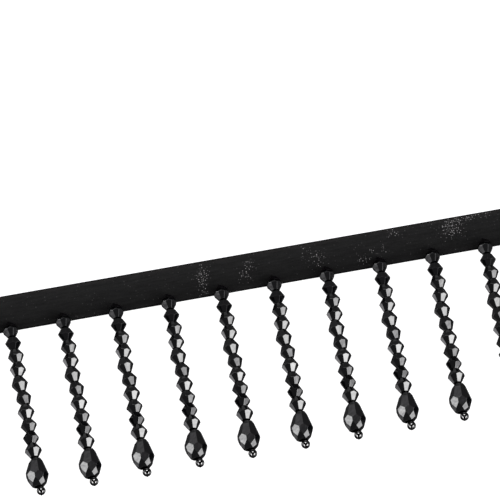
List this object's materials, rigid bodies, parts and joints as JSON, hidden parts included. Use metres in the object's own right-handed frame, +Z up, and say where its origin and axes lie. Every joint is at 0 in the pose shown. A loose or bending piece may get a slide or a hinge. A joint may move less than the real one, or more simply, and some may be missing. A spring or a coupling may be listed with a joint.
{
  "type": "beaded fringe trim",
  "caption": "Straight length of flat black woven tape with even drops of cut bicone beads strung from one edge, each ending in a faceted teardrop and a small round stop bead.",
  "frame": {"origin": "middle of the footprint, on the surface that the trim lies on", "axes": "+X along the tape, +Y from the drops towards the tape, +Z up from the surface"},
  "size_m": [0.14, 0.0576, 0.006],
  "materials": {
    "tape_cloth": "fine satin weave with sparse glints",
    "jet_glass": "opaque black cut glass, polished"
  },
  "bodies": {
    "root": {"tape": "tape_cloth", "bead_string_01": "jet_glass", "teardrop_01": "jet_glass", "stop_bead_01": "jet_glass", "bead_string_02": "jet_glass", "teardrop_02": "jet_glass", "stop_bead_02": "jet_glass", "bead_string_03": "jet_glass", "teardrop_03": "jet_glass", "stop_bead_03": "jet_glass", "bead_string_04": "jet_glass", "teardrop_04": "jet_glass", "stop_bead_04": "jet_glass", "bead_string_05": "jet_glass", "teardrop_05": "jet_glass", "stop_bead_05": "jet_glass", "bead_string_06": "jet_glass", "teardrop_06": "jet_glass", "stop_bead_06": "jet_glass", "bead_string_07": "jet_glass", "teardrop_07": "jet_glass", "stop_bead_07": "jet_glass", "bead_string_08": "jet_glass", "teardrop_08": "jet_glass", "stop_bead_08": "jet_glass", "bead_string_09": "jet_glass", "teardrop_09": "jet_glass", "stop_bead_09": "jet_glass", "bead_string_10": "jet_glass", "teardrop_10": "jet_glass", "stop_bead_10": "jet_glass"}
  },
  "joints": []
}
